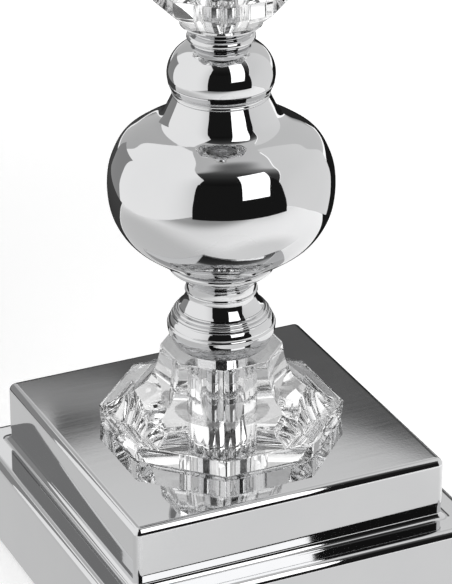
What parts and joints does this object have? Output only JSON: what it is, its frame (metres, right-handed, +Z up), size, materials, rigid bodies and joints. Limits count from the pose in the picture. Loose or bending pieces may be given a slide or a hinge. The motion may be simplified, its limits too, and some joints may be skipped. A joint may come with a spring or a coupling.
{
  "type": "table lamp",
  "caption": "Tall candlestick table lamp with a square stepped chrome plinth, faceted crystal foot, turned chrome column with a ball, and a tapered fabric shade.",
  "frame": {"origin": "centre of the felt pad under the foot, on the table", "axes": "+Z up along the lamp tube, +Y towards the lead inlet at the rear, +X to the right seen from the front"},
  "size_m": [0.2554, 0.2554, 0.733],
  "materials": {
    "chrome": "mirror polished plating",
    "crystal": "clear cut crystal, polished facets",
    "gasket": "clear soft washer",
    "felt": "dense black felt",
    "steel": "zinc plated",
    "iron": "as cast",
    "rubber": "matt black",
    "brass": "bright",
    "phenolic": "moulded white",
    "ceramic": "glazed white",
    "bulb_glass": "clear blown glass",
    "aluminium": "rolled, bright",
    "filament": "phosphor coated",
    "fabric": "woven ivory shade cloth",
    "trim": "woven tape",
    "liner": "stiff white liner",
    "wire": "white coated wire"
  },
  "bodies": {
    "base": {"felt_pad": "felt", "base_cover": "steel", "cover_screws": "steel", "cover_posts": "brass", "lower_plinth": "chrome", "upper_plinth": "chrome", "ballast_block": "iron", "flat_washer": "steel", "lock_washer": "steel", "bottom_nut": "brass", "cable_grommet": "rubber", "centre_rod": "chrome", "crystal_gasket_lower": "gasket", "crystal_base": "crystal", "crystal_gasket_upper": "gasket", "foot_cup": "chrome", "foot_ring": "chrome", "spool": "chrome", "ball_body": "chrome", "ball_collar": "chrome", "knop": "chrome", "neck_ring": "chrome", "upper_crystal_gaskets": "gasket", "upper_crystal": "crystal", "crystal_cup": "chrome", "column_tube": "chrome", "holder_cup": "chrome", "rod_top_nut": "brass", "holder_cap": "phenolic", "switch_block": "phenolic", "holder_insert": "ceramic", "holder_sleeve": "phenolic", "holder_shell": "brass", "centre_contact": "brass", "shade_ring_lower": "phenolic"},
    "switch_bar": {"switch_bar": "ceramic"},
    "shade_ring": {"shade_ring_upper": "phenolic"},
    "bulb": {"bulb_tip": "steel", "bulb_insulator": "phenolic", "bulb_cap": "aluminium", "bulb_glass": "bulb_glass", "bulb_stem": "bulb_glass", "bulb_filaments": "filament"},
    "shade": {"shade_carrier": "wire", "shade_arms": "wire", "shade_bottom_wire": "wire", "shade_top_wire": "wire", "shade_liner": "liner", "shade_fabric": "fabric", "shade_trim_bottom": "trim", "shade_trim_top": "trim"}
  },
  "joints": [
    {"name": "switch_push", "type": "slide", "parent": "base", "child": "switch_bar", "axis": [-1, 0, 0], "range_m": [0, 0.004]},
    {"name": "shade_ring_turn", "type": "hinge", "parent": "base", "child": "shade_ring", "pos_m": [0, 0, 0.553], "axis": [0, 0, 1], "continuous": true},
    {"name": "bulb_turn", "type": "hinge", "parent": "base", "child": "bulb", "pos_m": [0, 0, 0.556], "axis": [0, 0, -1], "continuous": true},
    {"name": "shade_turn", "type": "hinge", "parent": "base", "child": "shade", "pos_m": [0, 0, 0.548], "axis": [0, 0, 1], "continuous": true}
  ]
}
